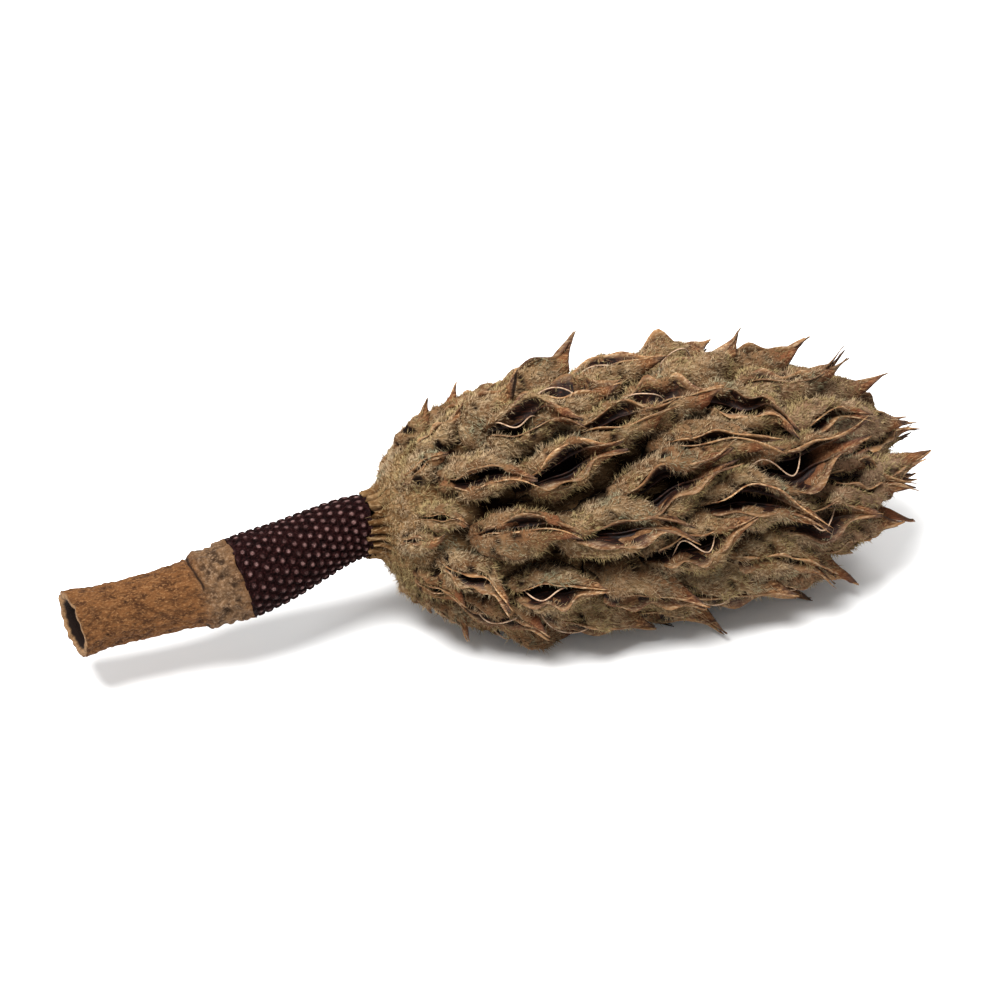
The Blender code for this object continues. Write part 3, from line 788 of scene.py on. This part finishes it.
def follicle_linings(grown, material):
    """Thin woody lining of each valve: a strip up the slit's wall that stands proud of the lip with a
    wavy edge and runs out along the beak, given a thickness both ways across it."""
    own = np.random.default_rng(SEED + 3)
    each = (FOLLICLES, 1)
    x = np.linspace(*LINING_RUNS, LINING_ROWS)
    row = np.arange(LINING_ROWS)
    from_ends = np.minimum(row, row[::-1]) / LINING_ROWS
    thickness = LINING_HALF_THICKNESS * np.minimum(1, THICKENS * from_ends + THIN_END)[:, None]
    middle = np.sin(math.pi * fade(x, -MM, TIP + MM)) ** 0.5
    weights = blend_weights(LINING_CORNERS, LINING_ACROSS)
    forked = grown["forked"][:, None]
    strips = []
    for side in (1, -1):
        lines = valve_lines(x, grown, side)
        lip, lip_z, beak = lines["lip"], lines["lip_z"], lines["beak"]
        slit = lip_z - lines["floor"]
        wave = np.sin(x / own.uniform(*LINING_WAVE_LENGTHS, each) + own.uniform(*ANY_START, each))
        wave = 0.5 + 0.5 * wave
        proud = LINING_PROUD * middle * (LEAST_PROUD + own.uniform(*PROUDER, each) * wave)
        proud = proud * (1 - LOW_ON_BEAK * beak)
        flare = LINING_FLARE * wave * own.uniform(*LINING_FLARES, each) * (1 - beak)
        split = own.uniform(0, 1, each) ** 2 * beak ** 2 * BEAK_SPLIT
        over = LINING_OVERHANG * (1 - beak)
        foot = LINING_FOOT + (FORKED_FOOT - LINING_FOOT) * forked * fade(beak, *FOOT_NEARS)
        foot_depth = (FOOT_DEEPER * (1 - foot) - FOOT_RAISED) * slit
        y = [foot * lip, 0.5 * (1 + foot) * lip, lip - over, lip + over + flare]
        z = [lip_z - foot_depth, lip_z - HALFWAY_DOWN * slit, lip_z - LINING_TUCK, lip_z + proud]
        y = np.stack([value + split for value in y], axis=-1) @ weights.T
        z = np.stack([value + SPLIT_RISE * split for value in z], axis=-1) @ weights.T
        along_y, along_z = np.gradient(y, axis=-1), np.gradient(z, axis=-1)
        half = thickness / np.maximum(np.hypot(along_y, along_z), 1e-9)
        y = np.concatenate([y + along_z * half, (y - along_z * half)[..., ::-1]], axis=-1)
        z = np.concatenate([z - along_y * half, (z + along_y * half)[..., ::-1]], axis=-1)
        y = side * y[..., ::side] + lines["sway"][..., None]
        strips.append(np.stack([np.broadcast_to(x[None, :, None], y.shape), y, z[..., ::side]], axis=-1))
    points = np.concatenate([to_pod(strip, grown) for strip in strips])
    across = np.linspace(0, 1, LINING_ACROSS)
    up_the_wall = np.concatenate([across, across[::-1]])
    beak = fade(x, BEAK_STARTS, TIP)[:, None]
    shown = own.uniform(*RIM_SHOWN, (2 * FOLLICLES, 1, 1))
    # deep: painted shade among the follicles
    marks = dict(rim=np.clip(fade(up_the_wall, *RIM) + beak, 0, 1) * shown, deep=shade_in_cone(points))
    tubes("follicle_linings", points, material, marks)


def cone_core(material):
    """The core: its profile carried round the cone's axis, with a ragged edge over the collar, ridges round
    the neck that fade out along it, and noise on its radius. What the hairs need is given back."""
    neck_along = np.linspace(*NECK_SPAN, NECK_ROWS)
    core_along = np.linspace(*CORE_SPAN, CORE_ROWS - NECK_ROWS - len(UNDER_EDGE))
    along = np.concatenate([UNDER_EDGE, neck_along, core_along])[:, None]
    turn = -even_turns(CORE_COLUMNS)
    axis, start, third = cone_frame()
    spoke = np.cos(turn)[:, None] * start + np.sin(turn)[:, None] * third
    around = NECK_RING_RADIUS * spoke
    row = np.arange(CORE_ROWS)[:, None]
    edge = np.exp(-row / NECK_EDGE_ROWS) * (row > 0)
    ridges = np.cos(NECK_RIDGES * turn + RIDGES_WAVER * ripple(around, RIDGE_PATH))
    ridged = 1 - fade(along, *RIDGES_END)
    radius = smooth(CORE_AT, CORE_RADIUS, along) + NECK_EDGE_FLARE * edge + RIDGE_HEIGHT * ridged * ridges
    radius[0] = CORE_RADIUS[0] - UNDERCUT
    place = along - edge * ragged_reach(NECK_EDGE, around, NECK_RAGS)
    points = CONE_BASE + place[..., None] * axis + radius[..., None] * spoke
    relief = KNOB_HEIGHT * ripple(points, CORE_KNOBS) + FIBRE_HEIGHT * ripple(points, CORE_FIBRES)
    points = settle(points + (relief * fade(along, *KNOBS_START))[..., None] * spoke)[None]
    # painted shade among the follicles, patchy by noise, and in the grooves between the neck's ridges
    hollows = HOLLOW_SHADE + HOLLOW_SPREAD * ripple(points, CORE_HOLLOWS)
    deep = np.maximum(fade(along, *CORE_SHADE_GROWS) * hollows, ridged * painted_crease_shade(ridges, RIDGE_SHADE))
    tubes("cone_core", points, material, dict(deep=deep))
    thinned = 1 - CORE_THINNED * fade(along, *CORE_HAIRS_THIN)
    haired = fade(along, *CORE_HAIRS_START) * thinned * (1 + CORE_LEAST_HAIRED - deep)
    return dict(surface=points, haired=haired, tone=np.full_like(deep, CORE_TONE), deep=deep)


def felt_hairs(name, count, surface, haired, tone, deep, own, material):
    """Short hairs on a surface: each is a thin four-faced spike from a random place on its grid, as often
    as its area and haired ask, that leans out, forward to the tip, and with its neighbours in tufts."""
    normals, ahead = ring_normals(surface), unit(np.gradient(surface, axis=1))
    area = np.linalg.norm(np.cross(np.gradient(surface, axis=1), np.gradient(surface, axis=2)), axis=-1)
    share = np.clip(area * haired, 0, None).ravel()
    n, u, v = np.unravel_index(own.choice(share.size, count, p=share / share.sum()), area.shape)
    u2, v2 = np.minimum(u + 1, surface.shape[1] - 1), (v + 1) % surface.shape[2]
    a, b = own.uniform(size=(2, count, 1))
    near = surface[n, u, v] * (1 - b) + surface[n, u, v2] * b
    far = surface[n, u2, v] * (1 - b) + surface[n, u2, v2] * b
    root = near * (1 - a) + far * a
    tuft = np.stack([ripple(root, noise) for noise in TUFTS], axis=-1)
    stray = own.uniform(size=(count, 1)) < STRAY_SHARE
    lean = HAIR_OUT * normals[n, u, v] + HAIR_AHEAD * ahead[n, u, v] + HAIR_TUFTED * tuft
    lean = unit(lean + HAIR_SPREAD * own.normal(size=(count, 3)))
    length = own.uniform(*HAIR_LENGTHS, (count, 1)) * np.where(stray, STRAY_LENGTH, 1)
    side = unit(np.cross(lean, own.normal(size=(count, 3))))
    other = np.cross(lean, side)
    radius = own.uniform(*HAIR_RADII, (count, 1)) * np.where(stray, STRAY_THINNESS, 1)
    foot = root - 2 * radius * lean
    points = [foot + radius * (math.cos(turn) * side + math.sin(turn) * other) for turn in even_turns(3)]
    points = np.stack([*points, root + length * lean], axis=1)
    points[..., 2] = np.maximum(points[..., 2], 0)
    faces = 4 * np.arange(count)[:, None, None] + np.array([[0, 1, 3], [1, 2, 3], [2, 0, 3], [2, 1, 0]])
    pale = HAIR_PALENESS - TONE_DARKENS * tone[n, u, v] + own.normal(0, PALENESS_SPREAD, count)
    # the foot is darker partly as painted shade among the hairs, the point paler as the hairs are
    pale = pale[:, None] + SHADED_FOOT_TO_PALE_POINT * np.array([-1, -1, -1, 1])
    marks = dict(pale=pale, deep=HAIR_SHADE * deep[n, u, v, None])
    piece(name, points, faces.reshape(-1, 3), material, marks)


def seed_threads(grown, material):
    """Dry threads: each arches out of one of the wider slits and back in, with slow waves sideways, as a
    thin round tube along that path that narrows at its ends."""
    own = np.random.default_rng(SEED + 5)
    chosen = own.choice(np.argsort(grown["gape"])[-2 * THREADS:], THREADS, replace=False)
    each = (THREADS, 1)
    t = np.linspace(0, 1, THREAD_ROWS)[None]
    x = own.uniform(*THREAD_STARTS, each) + own.uniform(*THREAD_LENGTHS, each) * t
    sway = own.uniform(*THREAD_SWAYS, each)
    y = sway * np.sin(own.uniform(*THREAD_WAVES, each) * t + own.uniform(*ANY_START, each))
    z = THREAD_ROOT + own.uniform(*THREAD_RISES, each) * np.sin(math.pi * t) ** 0.5
    path = to_pod(np.stack([x, y, z], axis=-1)[:, :, None], grown, chosen)
    heading = unit(np.gradient(path, axis=1))
    side = unit(np.cross(heading, ASKEW))
    other = np.cross(heading, side)
    turn = even_turns(THREAD_COLUMNS)[:, None]
    radius = THREAD_RADIUS * np.minimum(1, THREAD_THIN_END + THREAD_THICKENS * np.minimum(t, 1 - t))
    points = path + radius[..., None, None] * (np.cos(turn) * side + np.sin(turn) * other)
    points[..., 2] = np.maximum(points[..., 2], 0)
    tubes("seed_threads", points, material, {})


def scar_collar(material):
    """The collar: its radius along the stem plus a dome at each point of a staggered net that wavers, with
    a shallow pit where the pale scar is."""
    at = np.linspace(JOINT_GAP, COLLAR_LENGTH, COLLAR_ROWS)[:, None]
    turn = even_turns(COLLAR_COLUMNS)[None]
    radius = smooth(COLLAR_AT, COLLAR_RADIUS, at)
    row_gap, column_gap = (COLLAR_LENGTH - JOINT_GAP) / (SCAR_ROWS + 1), math.pi / SCARS_ROUND
    straight_row, straight_column = (at - JOINT_GAP) / row_gap, turn / column_gap
    row = straight_row + ROW_WAVER * np.sin(straight_column * ROW_WAVES / SCARS_ROUND)
    column = straight_column + COLUMN_WAVER * np.sin(COLUMN_WAVES * straight_row)
    up, down = np.round((column + row) / 2), np.round((column - row) / 2)
    away = np.hypot((column - up - down) * column_gap * radius, (row - up + down) * row_gap)
    dome = np.clip(1 - (away / SCAR_DOME_RADIUS) ** 2, 0, 1)
    within = fade(np.minimum(at - JOINT_GAP, COLLAR_LENGTH - at), 0, SCARS_START)
    scar = 1 - fade(away, *SCAR_EDGE)
    out = radius + (SCAR_DOME_HEIGHT * (dome - 0.5) - SCAR_PIT * scar) * within
    spot = stem_surface(at, out, turn)
    points = stem_surface(at, out + COLLAR_GRIT * ripple(spot, COLLAR_GRAINS), turn)[None]
    strength = np.clip(SCAR_SHOWN + SCAR_SPREAD * ripple(spot, SCAR_STRENGTHS), SCAR_LEAST, 1)
    marks = dict(scar=scar * strength * within)
    tubes("scar_collar", points, material, marks, "stamen_scar_collar")


def cut_stalk(material):
    """The stalk: a ragged edge over the collar, its radius along the stem with long wrinkles, grit and a
    lumpy cracked node, then the slanted sawn end, from its rim into the hollow pith."""
    start, end, sawn_rows = STALK_AT[0], STALK_AT[-1], len(SAWN_IN)
    bark_at = np.linspace(start + STALK_BARK_GAPS[0], end - STALK_BARK_GAPS[1], STALK_ROWS)[:, None]
    at = np.concatenate([[[start + STALK_UNDER_EDGE], [start]], bark_at, end - SAWN_IN])
    turn = even_turns(STALK_COLUMNS)[None]
    row = np.arange(len(at))[:, None]
    past_bark = row - (len(at) - sawn_rows)
    on_bark = (row > 0) * (1 - fade(past_bark, 0, BARK_ENDS_OVER))
    sawn = 1.0 * (past_bark > 0)
    # the bottom of the hollow pith is painted in full shade
    pith = 1.0 * (past_bark >= sawn_rows - PITH_SHADE_ROWS)
    ring = BARK_RING_RADIUS * np.stack([0 * turn, np.cos(turn), np.sin(turn)], axis=-1)
    spot = at[..., None] * (1, 0, 0) + ring
    node = np.exp(-(((at - NODE_AT) / NODE_LENGTH) ** 4))
    wrinkles, grit, bulges, knobs = [ripple(spot, noise) for noise in (WRINKLES, GRIT, BULGES, NODE_KNOBS)]
    crack_line = CRACK_AT + CRACK_WAVER * ripple(spot, CRACK_PATH)
    cracks = np.exp(-(((at - crack_line) / CRACK_WIDTH) ** 2))
    cracks = cracks * fade(ripple(spot, CRACK_BREAKS), *CRACK_BROKEN)
    relief = WRINKLE_HEIGHT * wrinkles + GRIT_HEIGHT * grit + BULGE_HEIGHT * bulges
    relief = relief + NODE_KNOB_HEIGHT * node * knobs - CRACK_DEPTH * cracks
    edge = np.exp(-row / STALK_EDGE_ROWS) * (row > 0)
    radius = smooth(STALK_AT, STALK_RADIUS, at) + STALK_EDGE_FLARE * edge
    radius[0] = STALK_RADIUS[0] - UNDERCUT
    radius[-sawn_rows:] = SAWN_RADIUS
    by_end = fade(at, end - ROUGH_FROM_END[0], end - ROUGH_FROM_END[1])
    rough_end = SAWN_ROUGHNESS * ripple(spot, SAW_MARKS) * by_end
    slant = 0.5 * SAWN_SLANT * (1 + radius / SAWN_RADIUS[0] * np.cos(turn - SAWN_SLANT_TURN))
    slant = slant * fade(at, end - SLANT_OVER, end)
    place = at - edge * ragged_reach(STALK_EDGE, spot[1:2], STALK_RAGS) + rough_end - slant
    points = stem_surface(place, radius + relief * on_bark, turn)[None]
    # painted shade in the hollows of the wrinkles, grit and the node's knobs, and in the cracks
    shaded_creases = np.maximum(painted_crease_shade(wrinkles, WRINKLE_SHADE), painted_crease_shade(grit, GRIT_SHADE)) * (1 - sawn)
    shaded_creases = np.maximum(shaded_creases, node * painted_crease_shade(knobs, KNOB_SHADE))
    marks = dict(sawn=sawn, node=node, deep=np.maximum(np.maximum(pith, shaded_creases), CRACK_SHADE * cracks))
    tubes("cut_stalk", points, material, marks, "stalk")


# Floor, light and camera


def pale_floor():
    """A flat square just under the pod."""
    half, below = 2, -0.3 * MM
    mesh = bpy.data.meshes.new("pale_floor")
    corners = [(-half, -half, below), (half, -half, below), (half, half, below), (-half, half, below)]
    mesh.from_pydata(corners, [], [(0, 1, 2, 3)])
    mesh.materials.append(floor_material())
    floor = show("pale_floor", mesh)


def soft_light(name, place, size, watts):
    """A round soft light that faces the middle of the pod."""
    lamp = bpy.data.lights.new(name, "AREA")
    lamp.shape = "DISK"
    lamp.size = size
    lamp.energy = watts
    obj = show(name, lamp)
    obj.location = place
    obj.rotation_euler = Vector(place).to_track_quat("Z", "Y").to_euler()


def studio():
    """White surroundings, a key light from the front left and a weaker one from behind."""
    world = bpy.data.worlds.new("studio")
    bpy.context.scene.world = world
    world.use_nodes = True
    background = world.node_tree.nodes["Background"].inputs
    background["Color"].default_value = (1, 1, 1, 1)
    background["Strength"].default_value = 0.5
    bpy.context.scene.view_settings.view_transform = "Standard"
    soft_light("key", (-0.2, -0.15, 0.65), 0.3, 9)
    soft_light("back", (0.3, 0.45, 0.5), 0.4, 3)


def camera():
    """Looks down on the pod from its front left, as the photo does."""
    azimuth, elevation, away, looks_at = math.radians(-14), math.radians(38), 0.436, (0, 0, 0.02)
    data = bpy.data.cameras.new("camera")
    data.lens = 100
    data.clip_start = 0.01
    obj = show("camera", data)
    level = math.cos(elevation)
    back = Vector((math.sin(azimuth) * level, -math.cos(azimuth) * level, math.sin(elevation)))
    obj.location = Vector(looks_at) + away * back
    obj.rotation_euler = back.to_track_quat("Z", "Y").to_euler()
    bpy.context.scene.camera = obj


camera()
studio()
pale_floor()
mottle_group()
painted_shade_group()

grown = grow_follicles()
valve_felt = follicle_valves(grown, felt_material())
follicle_linings(grown, lining_material())
core_felt = cone_core(core_material())
seed_threads(grown, thread_material())
scar_collar(scar_material())
cut_stalk(bark_material())

hair = hair_material()
hair_draws = np.random.default_rng(SEED + 4)
for number in range(VALVE_HAIR_PIECES):
    felt_hairs(f"valve_hairs_{number + 1}", HAIRS_A_PIECE, **valve_felt, own=hair_draws, material=hair)
felt_hairs("core_hairs", CORE_HAIRS, **core_felt, own=hair_draws, material=hair)
